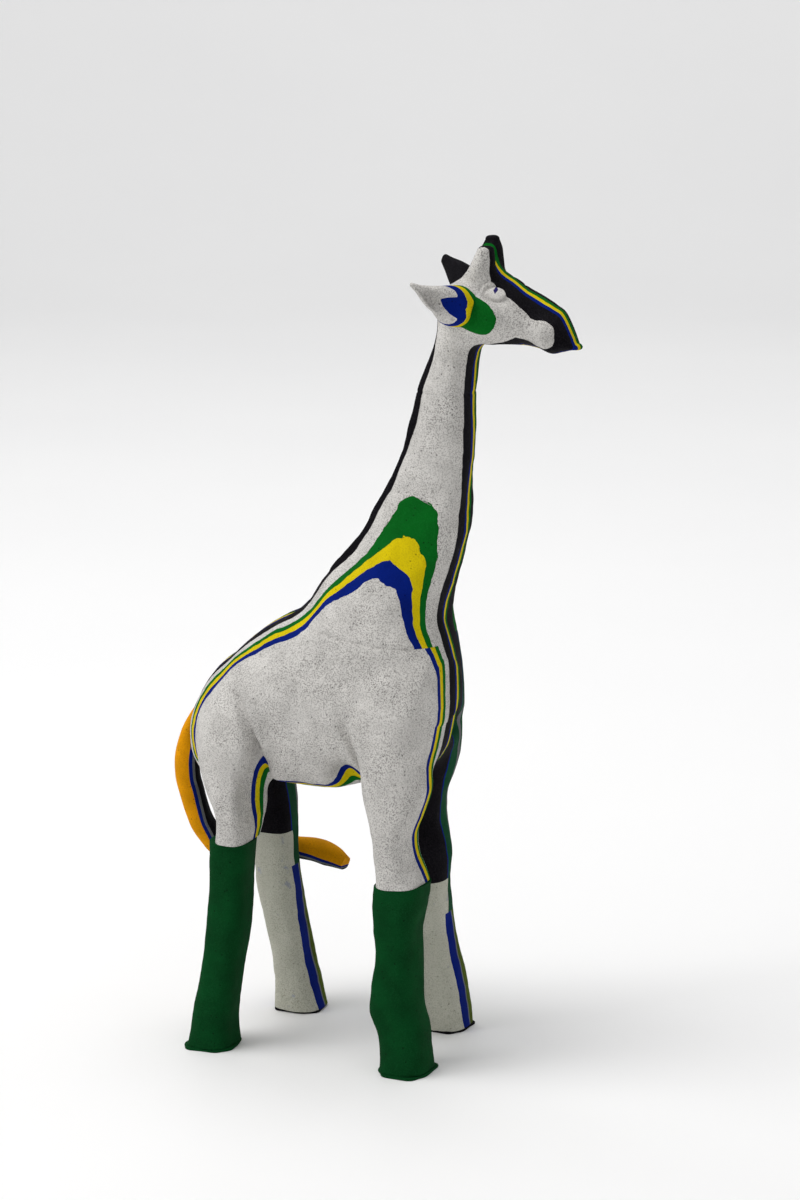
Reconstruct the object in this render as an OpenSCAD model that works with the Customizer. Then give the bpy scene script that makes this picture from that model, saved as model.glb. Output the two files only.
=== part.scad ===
// Carved giraffe statue: a block of glued foam sheets, cut to shape so that the
// sheet edges show as coloured bands. +X is forward, -Y is the right side, +Z is up.
// The floor is Z = 0. All lengths are in millimetres.

/* [Frame] */
// Forward offset that puts the box centre of the statue at X = 0
centre_x = 11.5; // [0:0.1:20]
// Sideways offset that puts the box centre of the statue at Y = 0
centre_y = 7; // [-10:0.1:15]

/* [Right side sheets] */
// Thickness of each thin coloured sheet on the right side
right_sheet = 2.5; // [1.5:0.1:4]
// Right face of the green sheet's white neighbour on the head and neck
neck_white_face = 14; // [10:0.5:18]
// Right face of the inner white sheet on the body
body_white_face = 10.5; // [8:0.5:14]
// Right face of the black core sheet
core_face = 6.5; // [4:0.5:9]

/* [Middle and left side sheets] */
// Thickness of the black core sheet
core_sheet = 6; // [3:0.5:9]
// Thickness of each of the three thin middle stripes
middle_sheet = 1.8; // [1:0.1:3]
// Left face of the thick black sheet
left_black_face = 14; // [10:0.5:18]
// Thickness of the thin blue sheet on the left side
left_blue_sheet = 2.5; // [1:0.1:4]
// Thickness of the green sheet on the left side
left_green_sheet = 7; // [4:0.5:10]
// Thickness of the grey sheet on the left side
left_grey_sheet = 2.5; // [1:0.1:4]

/* [Seams] */
// Height of the seam between the head block and the neck block
neck_seam = 268.5; // [255:0.5:280]
// Height of the seam between the neck block and the body block, at X = 0
shoulder_seam = 174; // [165:0.5:185]
// Drop of the shoulder seam for each millimetre forward
shoulder_slope = 0.09; // [0:0.01:0.3]

/* [Leg joints] */
// Height of the right hind leg joint
right_hind_joint = 84; // [70:0.5:95]
// Height of the right front leg joint
right_front_joint = 76; // [65:0.5:90]
// Height of the left hind leg joint at the inner face
left_hind_joint = 77; // [65:0.5:90]
// Height of the left front leg joint at the inner face
left_front_joint = 65; // [55:0.5:80]
// How much lower the left leg joints are in the outer sheets
lap_step = 13; // [5:0.5:20]

/* [Left lower legs] */
// Thickness of the inner white sheet of a left lower leg
lower_white_sheet = 4.5; // [2:0.5:8]
// Thickness of the blue sheet of a left lower leg
lower_blue_sheet = 3.5; // [2:0.5:8]
// Thickness of the grey sheet of a left lower leg
lower_grey_sheet = 1.5; // [1:0.1:4]

/* [Feet] */
// Thickness of a foot pad
pad = 1.6; // [1:0.1:4]
// How far a foot pad stands out past the foot
pad_lip = 0.8; // [0:0.1:2]

/* [Tail] */
// Half width of the tail strip across the sheets
tail_half_thick = 4.5; // [3:0.1:6]
// Half width of the tail strip along the sheets
tail_half_wide = 4.8; // [3:0.1:7]
// Thickness of the yellow sheet of the tail
tail_yellow_sheet = 5.6; // [3:0.1:8]
// Thickness of the blue sheet of the tail
tail_blue_sheet = 1.3; // [0.8:0.1:3]
// Thickness of the grey sheet of the tail
tail_grey_sheet = 0.9; // [0.6:0.1:3]

/* [Eyes] */
// Half length of an eye
eye_half_length = 4; // [2:0.1:6]
// Half height of an eye
eye_half_height = 2.7; // [1.5:0.1:4]

/* [Hidden] */
// Corners of every section ring
ring_points = 20;
// Half extent of the cutting slabs
far = 400;
// Sheet planes on the right side of the head and neck, from the outside in
ny1 = -neck_white_face - 3 * right_sheet;
ny2 = -neck_white_face - 2 * right_sheet;
ny3 = -neck_white_face - right_sheet;
ny4 = -neck_white_face;
// Sheet planes on the right side of the body, from the outside in
by1 = -body_white_face - 3 * right_sheet;
by2 = -body_white_face - 2 * right_sheet;
by3 = -body_white_face - right_sheet;
by4 = -body_white_face;
// Sheet planes of the core and the middle stripes
cy0 = -core_face;
cy1 = cy0 + core_sheet;
cy2 = cy1 + middle_sheet;
cy3 = cy2 + middle_sheet;
cy4 = cy3 + middle_sheet;
// Sheet planes on the left side
ly1 = left_black_face;
ly2 = ly1 + left_blue_sheet;
ly3 = ly2 + left_green_sheet;
ly4 = ly3 + left_grey_sheet;

// Sections of the torso: [x, y, z, half width, half height]
torso_sections = [
    [-65, 3, 124, 7, 6],
    [-63.5, 3, 124, 13, 12],
    [-60, 3, 125, 19, 17.5],
    [-55, 3, 128, 26, 22],
    [-48, 3, 132, 31, 25.5],
    [-37, 3, 138.5, 34, 28],
    [-20, 3, 144, 34, 32],
    [-5, 3, 145.5, 33.5, 34.5],
    [16, 3, 148, 33.5, 34.5],
    [28, 2, 149, 34, 33],
    [37, 0, 149, 32.5, 30],
    [43, -3, 149, 27.5, 25],
    [46.5, -6, 150, 21.5, 19],
    [49, -8, 152, 15, 11],
];
// Sections of the neck: [x, y, z, half length, half width]
neck_sections = [
    [10, 3, 158, 32, 32],
    [12, 2, 170, 29.5, 30],
    [14.5, 1, 179, 28, 27.5],
    [17.5, 0.5, 187, 26.5, 24.5],
    [22, 0, 195, 24.5, 21.5],
    [26.2, 0, 203, 22.8, 19.2],
    [31.2, 0, 213, 20.5, 16.6],
    [34.2, 0, 223, 18, 14.4],
    [37.7, 0, 234, 15.8, 13.4],
    [41, 0, 246, 13.4, 12.8],
    [42.8, 0, 258, 11.8, 12.4],
    [44.3, 0, 270, 10.2, 12],
    [46.8, 0, 281, 8.8, 11.5],
    [49, 0, 290, 9, 10.5],
    [51, 0, 298, 9, 9],
];
// Sections of the head: [x, y, z, half width, half height]
head_sections = [
    [40.5, 0, 301, 6, 6],
    [43, 0, 301, 9.5, 9.5],
    [48, 0, 301, 12.5, 12],
    [56, 0, 302, 13.5, 14],
    [64, 0, 302, 13.2, 14],
    [70, 0, 302, 12, 12.5],
    [76, 0, 300.5, 10.2, 10.5],
    [83, 0.5, 297, 8.8, 9],
    [90, 1, 294, 7, 7.2],
    [95, 1, 292, 5.5, 4.8],
    [98, 1, 290, 3.5, 2],
];
// Sections of the right horn: [x, y, z, half length, half width]
right_horn_sections = [
    [59, -7.5, 306, 7.5, 5.5],
    [61, -7.5, 316, 5.5, 4.6],
    [62.5, -7.5, 321, 3.9, 3.8],
    [63, -7.5, 325, 3.2, 3.3],
    [63, -7.5, 326.5, 2, 2.2],
];
// Sections of the left horn: [x, y, z, half length, half width]
left_horn_sections = [
    [58, 5, 306, 8.5, 7],
    [58.5, 5, 315, 7, 6.5],
    [59, 5, 321, 4.8, 5.8],
    [59.5, 5, 325.5, 3.6, 5],
    [59.5, 5, 328, 2, 3.4],
];
// Sections of the cheek under the right ear: [x, y, z, half length, half height]
cheek_sections = [
    [60, -6, 301, 13, 11],
    [59, -13, 301, 11, 9.5],
    [57, -16.5, 301.5, 8.5, 7.8],
    [55, -19, 302, 6.5, 6.6],
    [53.5, -21, 302.5, 5, 5.6],
];
// Sections of the right ear: [x, y, z, half thickness, half height]
right_ear_sections = [
    [58, -13, 301, 4, 5],
    [55, -18, 302.5, 4, 6.2],
    [51, -22, 304.5, 3, 6.6],
    [47, -25.5, 307, 2.2, 5.8],
    [43, -29, 309.5, 1.5, 3.4],
    [40.5, -31, 311, 0.6, 1],
];
// Sections of the left ear: [x, y, z, half thickness, half height]
left_ear_sections = [
    [52, 8, 305, 4, 5.5],
    [47, 13, 308.5, 3.6, 6.5],
    [42.5, 17.5, 312, 2.8, 6.3],
    [37.5, 22, 315.5, 1.8, 4],
    [34, 25, 318.5, 0.6, 1],
];
// Sections of the upper legs: [x, y, z, half length, half width]
right_hind_upper = [
    [-36, -12, 152, 10, 10],
    [-38.5, -17.5, 138, 15.5, 14.5],
    [-39.5, -19.5, 127, 16, 14.5],
    [-40, -20, 117, 14, 14],
    [-38.5, -20, 106, 12, 13],
    [-38, -20, 96, 9.8, 12],
    [-38.8, -20, 84, 8.8, 11],
];
right_front_upper = [
    [29, -13, 156, 12, 12],
    [31, -18, 141, 16.5, 14.5],
    [32, -19.5, 126, 16, 14.3],
    [32.5, -20, 113, 13.5, 13],
    [32, -20, 103, 10, 12],
    [31.5, -20, 94, 8, 11.2],
    [32.3, -20, 86, 8.2, 11],
    [34, -20, 76, 9.4, 11.2],
];
left_hind_upper = [
    [-36, 17, 152, 10, 10],
    [-39, 21.5, 138, 16, 15],
    [-42, 23, 127, 16, 14.8],
    [-43.5, 22.5, 116, 13.5, 13.5],
    [-43, 22, 105, 10.5, 12],
    [-41, 21.5, 92, 8.8, 10.5],
    [-39.8, 21.5, 77, 8.6, 9.6],
];
left_front_upper = [
    [22, 14, 156, 11, 11],
    [25, 19.5, 141, 14, 15],
    [26.5, 21, 127, 13.5, 14.5],
    [27.5, 21, 114, 11, 13],
    [26.5, 21, 102, 8.5, 11.5],
    [26.5, 21, 92, 8, 10.5],
    [28, 21, 78, 8.6, 9.8],
    [28, 22, 65, 8, 9.8],
];
// Sections of the lower legs, which overlap the upper ones by the depth of the lap
right_hind_lower = [
    [-38.6, -20, 84, 9.2, 11.4],
    [-39, -20.5, 74, 8.2, 10.8],
    [-39.6, -21, 60, 8, 10.4],
    [-41, -21.5, 47, 7.6, 10],
    [-43, -22, 34, 7.6, 10],
    [-45.8, -22, 18, 7.8, 10.4],
    [-47.2, -22, 7, 8.2, 10.8],
    [-47.8, -22, 1.6, 9.2, 11.4],
];
right_front_lower = [
    [34, -20, 76, 9.8, 11.6],
    [33.5, -20.5, 68, 9.4, 11.2],
    [33, -21, 56, 8.3, 10.8],
    [33.5, -21.5, 44, 8.3, 10.6],
    [34, -22, 28, 9.2, 10.8],
    [35.5, -22, 16, 9.8, 11],
    [36.5, -22, 8, 9.4, 11],
    [37, -22, 1.6, 9.8, 11.4],
];
left_hind_lower = [
    [-39.8, 21.5, 77, 8.6, 9.6],
    [-39.6, 23, 64, 8.3, 9.6],
    [-39, 26, 50, 8.2, 9.8],
    [-37.6, 29.5, 36, 7.8, 9.6],
    [-36.8, 32, 24, 7.8, 9.6],
    [-36, 34, 12, 8.8, 10],
    [-35, 35.5, 1.6, 10, 10.6],
];
left_front_lower = [
    [28, 21, 78, 8.6, 9.8],
    [28, 22, 65, 8, 9.8],
    [28, 24.5, 52, 7.7, 9.6],
    [28.8, 28.5, 37, 7.6, 9.6],
    [30.2, 32, 23, 8.2, 9.8],
    [31, 34.5, 10, 8.8, 10],
    [31.3, 35.5, 1.6, 9, 10.4],
];
// Route of the tail strip: [x, y, z, twist in degrees]
tail_route = [
    [-61, 1, 137, 0],
    [-65, 1, 132, 0],
    [-68.5, 2, 125, 0],
    [-70.5, 3, 114, 0],
    [-70.5, 5, 103, 0],
    [-68.5, 8, 93, 0],
    [-65.5, 13, 83, 5],
    [-61, 20, 75.5, 20],
    [-56, 28.5, 69.5, 60],
    [-50.5, 37, 66, 110],
    [-43, 43, 65.5, 150],
    [-33, 43, 66, 175],
    [-24, 41, 65, 180],
    [-16.5, 39.5, 62.5, 180],
];
// Scale of the tail section at each route point
tail_taper = [0.9, 1, 1, 1, 1, 1, 1, 1, 1, 1, 1, 1.05, 1, 0.55];

// Which node to draw

// Colours of the foam sheets
white_foam = [0.78, 0.77, 0.74];
black_foam = [0.08, 0.07, 0.08];
blue_foam = [0.02, 0.12, 0.5];
yellow_foam = [0.9, 0.82, 0.05];
green_foam = [0.02, 0.4, 0.18];
sock_green_foam = [0.02, 0.3, 0.12];
dark_green_foam = [0.03, 0.2, 0.12];
olive_foam = [0.3, 0.38, 0.08];
grey_foam = [0.5, 0.5, 0.52];
amber_foam = [0.9, 0.6, 0.05];

// Sine raised to a power while keeping its sign, for a squared-off ellipse
function soft(v, p) = sign(v) * pow(abs(v), 2 / p);

// A squared-off ellipse about the point c, spanned by the directions u and w
function ring(c, u, w, a, b, p) = [
    for (i = [0:ring_points - 1])
        let (t = 360 * (i + 0.5) / ring_points)
        c + u * (a * soft(cos(t), p)) + w * (b * soft(sin(t), p))
];

// The ring of one table row
function row_ring(s, u, w, p) = ring([s[0], s[1], s[2]], u, w, s[3], s[4], p);

// The solid between two rings of points
module between(r0, r1) {
    pts = concat(r0, r1);
    hull() polyhedron(points = pts, faces = [[for (i = [0:len(pts) - 1]) i]]);
}

// A body through all rows of a section table
module loft(table, u, w, p) {
    for (i = [0:len(table) - 2])
        between(row_ring(table[i], u, w, p), row_ring(table[i + 1], u, w, p));
}

module torso() {
    loft(torso_sections, [0, 1, 0], [0, 0, 1], 2.6);
}

module neck() {
    loft(neck_sections, [1, 0, 0], [0, 1, 0], 2.3);
}

module head() {
    loft(head_sections, [0, 1, 0], [0, 0, 1], 2.3);
}

module horns() {
    loft(right_horn_sections, [1, 0, 0], [0, 1, 0], 2.2);
    loft(left_horn_sections, [1, 0, 0], [0, 1, 0], 2.2);
}

module cheek() {
    loft(cheek_sections, [1, 0, 0], [0, 0, 1], 2);
}

module upper_leg(table) {
    loft(table, [1, 0, 0], [0, 1, 0], 2.8);
}

// The right ear's leaf, edge-on to its own direction
module right_ear_leaf() {
    loft(right_ear_sections, [0.66, -0.6, 0.2], [-0.2, 0.1, 0.97], 2.2);
}

module left_ear_leaf() {
    loft(left_ear_sections, [0.75, 0.62, 0.2], [-0.3, -0.05, 0.95], 2.2);
}

// Space between two sheet planes
module sheet(y0, y1) {
    translate([-far, y0, -far])
        cube([2 * far, y1 - y0, 2 * far]);
}

// Space above the upper-neck seam
module above_neck_seam() {
    translate([-far, -far, neck_seam])
        cube([2 * far, 2 * far, far]);
}

// Space between the shoulder seam and the upper-neck seam
module neck_zone() {
    rotate([90, 0, 0])
        translate([0, 0, -far])
            linear_extrude(2 * far)
                polygon([
                    [-far, shoulder_seam + far * shoulder_slope],
                    [far, shoulder_seam - far * shoulder_slope],
                    [far, neck_seam],
                    [-far, neck_seam],
                ]);
}

// Space below the shoulder seam, down to the leg joints at the given heights
module body_zone(hind_z, front_z) {
    rotate([90, 0, 0])
        translate([0, 0, -far])
            linear_extrude(2 * far)
                polygon([
                    [-far, hind_z],
                    [0, hind_z],
                    [0, front_z],
                    [far, front_z],
                    [far, shoulder_seam - far * shoulder_slope],
                    [-far, shoulder_seam + far * shoulder_slope],
                ]);
}

module place() {
    translate([-centre_x, -centre_y, 0])
        children();
}

// One sheet of the head block
module head_sheet(y0, y1) {
    intersection() {
        union() {
            neck();
            head();
            horns();
            cheek();
            right_ear_leaf();
        }
        sheet(y0, y1);
        above_neck_seam();
    }
}

// One sheet of the neck block
module neck_sheet(y0, y1) {
    intersection() {
        union() {
            torso();
            neck();
        }
        sheet(y0, y1);
        neck_zone();
    }
}

// One sheet of the body block on the right of the middle
module right_body_sheet(y0, y1) {
    intersection() {
        union() {
            torso();
            neck();
            upper_leg(right_hind_upper);
            upper_leg(right_front_upper);
        }
        sheet(y0, y1);
        body_zone(right_hind_joint, right_front_joint);
    }
}

// One sheet of the body block on the left of the middle, with its own joint heights
module left_body_sheet(y0, y1, hind_z, front_z) {
    intersection() {
        union() {
            torso();
            neck();
            upper_leg(left_hind_upper);
            upper_leg(left_front_upper);
            loft(left_hind_lower, [1, 0, 0], [0, 1, 0], 2.8);
            loft(left_front_lower, [1, 0, 0], [0, 1, 0], 2.8);
        }
        sheet(y0, y1);
        body_zone(hind_z, front_z);
    }
}

module head_right_white() {
    color(white_foam)
        place()
            head_sheet(ny4, cy0);
}

module ear_root_green() {
    color(green_foam)
        place()
            head_sheet(ny3, ny4);
}

module ear_root_yellow() {
    color(yellow_foam)
        place()
            head_sheet(ny2, ny3);
}

module ear_root_blue() {
    color(blue_foam)
        place()
            head_sheet(ny1, ny2);
}

module right_ear() {
    color(white_foam)
        place()
            head_sheet(-far, ny1);
}

module head_black_core() {
    color(black_foam)
        place()
            head_sheet(cy0, cy1);
}

module head_blue_stripe() {
    color(blue_foam)
        place()
            head_sheet(cy1, cy2);
}

module head_yellow_stripe() {
    color(yellow_foam)
        place()
            head_sheet(cy2, cy3);
}

module head_green_stripe() {
    color(green_foam)
        place()
            head_sheet(cy3, cy4);
}

module head_left_black() {
    color(black_foam)
        place()
            head_sheet(cy4, far);
}

module left_ear() {
    color(black_foam)
        place()
            render()
                difference() {
                    left_ear_leaf();
                    head();
                    horns();
                }
}

// A lens-shaped eye on the side of the head given by its sign
module eye(side) {
    c = [68, side * 10.8, 309.5];
    out = [0.15, side * 0.85, 0.5];
    lean = [1, 0, -0.3];
    rise = [0, -side * 0.5, 0.85];
    pts = concat(
        ring(c - out * 1.5, lean, rise, eye_half_length, eye_half_height, 2),
        ring(c + out * 0.5, lean, rise, eye_half_length, eye_half_height, 2),
        ring(c + out * 1.1, lean, rise, eye_half_length * 0.6, eye_half_height * 0.6, 2)
    );
    hull() polyhedron(points = pts, faces = [[for (i = [0:len(pts) - 1]) i]]);
}

module right_eye() {
    color(white_foam)
        place()
            eye(-1);
}

module left_eye() {
    color(white_foam)
        place()
            eye(1);
}

module neck_right_white() {
    color(white_foam)
        place()
            neck_sheet(ny4, cy0);
}

module neck_black_core() {
    color(black_foam)
        place()
            neck_sheet(cy0, cy1);
}

module neck_blue_stripe() {
    color(blue_foam)
        place()
            neck_sheet(cy1, cy2);
}

module neck_yellow_stripe() {
    color(yellow_foam)
        place()
            neck_sheet(cy2, cy3);
}

module neck_green_stripe() {
    color(green_foam)
        place()
            neck_sheet(cy3, cy4);
}

module neck_left_black() {
    color(black_foam)
        place()
            neck_sheet(cy4, ly1);
}

module neck_right_green() {
    color(green_foam)
        place()
            neck_sheet(ny3, ny4);
}

module neck_right_yellow() {
    color(yellow_foam)
        place()
            neck_sheet(ny2, ny3);
}

module neck_right_blue() {
    color(blue_foam)
        place()
            neck_sheet(ny1, ny2);
}

module shoulder_right_white() {
    color(white_foam)
        place()
            neck_sheet(-far, ny1);
}

module shoulder_left_green() {
    color(green_foam)
        place()
            neck_sheet(ly1, ly3);
}

module shoulder_left_grey() {
    color(grey_foam)
        place()
            neck_sheet(ly3, ly4);
}

module shoulder_left_dark_green() {
    color(dark_green_foam)
        place()
            neck_sheet(ly4, far);
}

module body_right_white() {
    color(white_foam)
        place()
            right_body_sheet(-far, by1);
}

module body_right_blue() {
    color(blue_foam)
        place()
            right_body_sheet(by1, by2);
}

module body_right_yellow() {
    color(yellow_foam)
        place()
            right_body_sheet(by2, by3);
}

module body_right_green() {
    color(green_foam)
        place()
            right_body_sheet(by3, by4);
}

module body_inner_white() {
    color(white_foam)
        place()
            right_body_sheet(by4, cy0);
}

module body_black_core() {
    color(black_foam)
        place()
            right_body_sheet(cy0, cy1);
}

module body_blue_stripe() {
    color(blue_foam)
        place()
            right_body_sheet(cy1, cy2);
}

module body_yellow_stripe() {
    color(yellow_foam)
        place()
            right_body_sheet(cy2, cy3);
}

module body_green_stripe() {
    color(green_foam)
        place()
            right_body_sheet(cy3, cy4);
}

module body_left_black() {
    color(black_foam)
        place()
            left_body_sheet(cy4, ly1, left_hind_joint, left_front_joint);
}

module body_left_blue() {
    color(blue_foam)
        place()
            left_body_sheet(ly1, ly2, left_hind_joint, left_front_joint);
}

module body_left_green() {
    color(dark_green_foam)
        place()
            left_body_sheet(ly2, ly3, left_hind_joint - lap_step, left_front_joint - lap_step);
}

module body_left_grey() {
    color(grey_foam)
        place()
            left_body_sheet(ly3, ly4, left_hind_joint - lap_step, left_front_joint - lap_step);
}

module body_left_dark_green() {
    color(dark_green_foam)
        place()
            left_body_sheet(ly4, far, left_hind_joint - lap_step, left_front_joint - lap_step);
}

module right_hind_lower_leg() {
    color(sock_green_foam)
        place()
            loft(right_hind_lower, [1, 0, 0], [0, 1, 0], 2.8);
}

module right_front_lower_leg() {
    color(sock_green_foam)
        place()
            loft(right_front_lower, [1, 0, 0], [0, 1, 0], 2.8);
}

// A sheet that leans outward with a left lower leg, from height z0 up to z1
module leaning_sheet(y0, y1, lean, z0, z1) {
    rotate([90, 0, 90])
        translate([0, 0, -far])
            linear_extrude(2 * far)
                polygon([
                    [y0 - lean * z0, z0],
                    [y1 - lean * z0, z0],
                    [y1 - lean * z1, z1],
                    [y0 - lean * z1, z1],
                ]);
}

// The white sheet of a left lower leg: full depth below the lap, the inner part above it
module lower_white(table, y, lean, joint) {
    intersection() {
        loft(table, [1, 0, 0], [0, 1, 0], 2.8);
        union() {
            leaning_sheet(y - far, y + lower_white_sheet, lean, 0, joint - lap_step);
            translate([-far, -far, joint - lap_step - 0.5])
                cube([2 * far, far + ly2, lap_step + 0.5]);
        }
    }
}

// One outer sheet of a left lower leg
module lower_sheet(table, y0, y1, lean, joint) {
    intersection() {
        loft(table, [1, 0, 0], [0, 1, 0], 2.8);
        leaning_sheet(y0, y1, lean, 0, joint - lap_step);
    }
}

// Inner face of the left lower legs at the floor, and how much it leans
hind_face = 25;
hind_lean = 0.18;
front_face = 25;
front_lean = 0.2;

module left_hind_leg_white() {
    color(white_foam)
        place()
            lower_white(left_hind_lower, hind_face, hind_lean, left_hind_joint);
}

module left_hind_leg_blue() {
    y0 = hind_face + lower_white_sheet;
    color(blue_foam)
        place()
            lower_sheet(left_hind_lower, y0, y0 + lower_blue_sheet, hind_lean, left_hind_joint);
}

module left_hind_leg_grey() {
    y0 = hind_face + lower_white_sheet + lower_blue_sheet;
    color(grey_foam)
        place()
            lower_sheet(left_hind_lower, y0, y0 + lower_grey_sheet, hind_lean, left_hind_joint);
}

module left_hind_leg_olive() {
    y0 = hind_face + lower_white_sheet + lower_blue_sheet + lower_grey_sheet;
    color(olive_foam)
        place()
            lower_sheet(left_hind_lower, y0, y0 + far, hind_lean, left_hind_joint);
}

module left_front_leg_white() {
    color(white_foam)
        place()
            lower_white(left_front_lower, front_face, front_lean, left_front_joint);
}

module left_front_leg_blue() {
    y0 = front_face + lower_white_sheet;
    color(blue_foam)
        place()
            lower_sheet(left_front_lower, y0, y0 + lower_blue_sheet, front_lean, left_front_joint);
}

module left_front_leg_grey() {
    y0 = front_face + lower_white_sheet + lower_blue_sheet;
    color(grey_foam)
        place()
            lower_sheet(left_front_lower, y0, y0 + lower_grey_sheet, front_lean, left_front_joint);
}

module left_front_leg_olive() {
    y0 = front_face + lower_white_sheet + lower_blue_sheet + lower_grey_sheet;
    color(olive_foam)
        place()
            lower_sheet(left_front_lower, y0, y0 + far, front_lean, left_front_joint);
}

// Unit vector
function unit(v) = v / norm(v);

// Direction of the tail route at point i
function tail_dir(i) =
    let (n = len(tail_route))
    let (a = tail_route[max(i - 1, 0)])
    let (b = tail_route[min(i + 1, n - 1)])
    unit([b[0] - a[0], b[1] - a[1], b[2] - a[2]]);

// Sheet direction of the untwisted tail at point i: rearward, square to the route
function tail_side(i) = unit(cross(tail_dir(i), [0, -1, 0]));

// Outline of one tail sheet at point i, between two depths from the strip's outer face
function tail_ring(i, d0, d1) =
    let (t = tail_dir(i))
    let (s = tail_side(i))
    let (w = cross(t, s))
    let (turn = tail_route[i][3])
    let (out = s * cos(turn) + w * sin(turn))
    let (flat = w * cos(turn) - s * sin(turn))
    let (k = tail_taper[i])
    let (c = [tail_route[i][0], tail_route[i][1], tail_route[i][2]])
    let (h0 = (tail_half_thick - d1) * k)
    let (h1 = (tail_half_thick - d0) * k)
    let (a = tail_half_thick * k)
    let (b = tail_half_wide * k)
    [
        for (j = [0:5])
            let (h = h0 + (h1 - h0) * j / 5)
            c + out * h + flat * (b * pow(max(1 - pow(abs(h / a), 3), 0.02), 1 / 3)),
        for (j = [5:-1:0])
            let (h = h0 + (h1 - h0) * j / 5)
            c + out * h - flat * (b * pow(max(1 - pow(abs(h / a), 3), 0.02), 1 / 3))
    ];

module tail_sheet(d0, d1) {
    for (i = [0:len(tail_route) - 2])
        between(tail_ring(i, d0, d1), tail_ring(i + 1, d0, d1));
}

// Depths of the tail's sheet planes from its outer face
td1 = tail_yellow_sheet;
td2 = td1 + tail_blue_sheet;
td3 = td2 + tail_grey_sheet;
td4 = 2 * tail_half_thick;

module tail_yellow() {
    color(amber_foam)
        place()
            tail_sheet(0, td1);
}

module tail_blue() {
    color(blue_foam)
        place()
            tail_sheet(td1, td2);
}

module tail_grey() {
    color(grey_foam)
        place()
            tail_sheet(td2, td3);
}

module tail_black() {
    color(black_foam)
        place()
            tail_sheet(td3, td4);
}

// Outline of a foot pad about the last row of a leg table
module pad_outline(table) {
    s = table[len(table) - 1];
    r = ring([s[0], s[1]], [1, 0], [0, 1], s[3] + pad_lip, s[4] + pad_lip, 3);
    polygon(r);
}

module foot_pad(table) {
    linear_extrude(pad)
        pad_outline(table);
}

module right_hind_pad() {
    color(sock_green_foam)
        place()
            foot_pad(right_hind_lower);
}

module right_front_pad() {
    color(sock_green_foam)
        place()
            foot_pad(right_front_lower);
}

module left_hind_pad() {
    color(black_foam)
        place()
            foot_pad(left_hind_lower);
}

module left_front_pad() {
    color(black_foam)
        place()
            foot_pad(left_front_lower);
}

head_right_white();
ear_root_green();
ear_root_yellow();
ear_root_blue();
right_ear();
head_black_core();
head_blue_stripe();
head_yellow_stripe();
head_green_stripe();
head_left_black();
left_ear();
right_eye();
left_eye();
neck_right_white();
neck_black_core();
neck_blue_stripe();
neck_yellow_stripe();
neck_green_stripe();
neck_left_black();
neck_right_green();
neck_right_yellow();
neck_right_blue();
shoulder_right_white();
shoulder_left_green();
shoulder_left_grey();
shoulder_left_dark_green();
body_right_white();
body_right_blue();
body_right_yellow();
body_right_green();
body_inner_white();
body_black_core();
body_blue_stripe();
body_yellow_stripe();
body_green_stripe();
body_left_black();
body_left_blue();
body_left_green();
body_left_grey();
body_left_dark_green();
right_hind_lower_leg();
right_front_lower_leg();
left_hind_leg_white();
left_hind_leg_blue();
left_hind_leg_grey();
left_hind_leg_olive();
left_front_leg_white();
left_front_leg_blue();
left_front_leg_grey();
left_front_leg_olive();
tail_yellow();
tail_blue();
tail_grey();
tail_black();
right_hind_pad();
right_front_pad();
left_hind_pad();
left_front_pad();
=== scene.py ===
"""A giraffe carved from a block of glued foam sheets, with a studio floor, light and camera.

The statue is one carved form. The form is a smooth field, meshed block by block, and each
block is then sliced along slightly wavy glue planes into its coloured sheets. Lengths in
the tables are millimetres, in the layout frame of part.scad, before its centring offset.
"""
import math
import bmesh
import bpy
import numpy as np
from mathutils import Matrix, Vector


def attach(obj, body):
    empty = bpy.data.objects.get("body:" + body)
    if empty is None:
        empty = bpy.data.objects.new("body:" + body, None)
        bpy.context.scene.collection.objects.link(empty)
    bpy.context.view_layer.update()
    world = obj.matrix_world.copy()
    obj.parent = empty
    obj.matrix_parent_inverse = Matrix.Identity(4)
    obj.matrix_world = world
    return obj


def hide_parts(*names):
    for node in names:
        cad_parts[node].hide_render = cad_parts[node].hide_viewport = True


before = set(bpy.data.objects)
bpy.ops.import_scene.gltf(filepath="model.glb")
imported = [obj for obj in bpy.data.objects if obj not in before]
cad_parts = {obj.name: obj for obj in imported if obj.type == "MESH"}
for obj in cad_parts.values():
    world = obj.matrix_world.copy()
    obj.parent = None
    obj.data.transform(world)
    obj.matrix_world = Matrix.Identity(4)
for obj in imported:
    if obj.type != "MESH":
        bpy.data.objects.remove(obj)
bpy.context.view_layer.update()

MM = 0.001
# Offset from the layout frame to the statue's own frame
CENTRE = np.array([11.5, 7.0, 0.0])
FAR = 400.0

# ---------------------------------------------------------------- camera and studio

CAMERA_AZIMUTH = 23.0
CAMERA_ELEVATION = 12.1
CAMERA_DISTANCE = 1.5
CAMERA_AIM = Vector((0.0079, 0.0052, 0.1819))
CAMERA_LENS = 113.85


def make_camera():
    """The camera at the photograph's height and angle, on the statue's right side."""
    a = math.radians(CAMERA_AZIMUTH)
    e = math.radians(CAMERA_ELEVATION)
    back = Vector((math.sin(a) * math.cos(e), -math.cos(a) * math.cos(e), math.sin(e)))
    data = bpy.data.cameras.new("camera")
    data.sensor_width = 36
    data.lens = CAMERA_LENS
    data.clip_start = 0.05
    data.clip_end = 30
    camera = bpy.data.objects.new("camera", data)
    camera.location = CAMERA_AIM + back * CAMERA_DISTANCE
    camera.rotation_mode = "QUATERNION"
    camera.rotation_quaternion = (-back).to_track_quat("-Z", "Y")
    bpy.context.collection.objects.link(camera)
    bpy.context.scene.camera = camera


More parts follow.
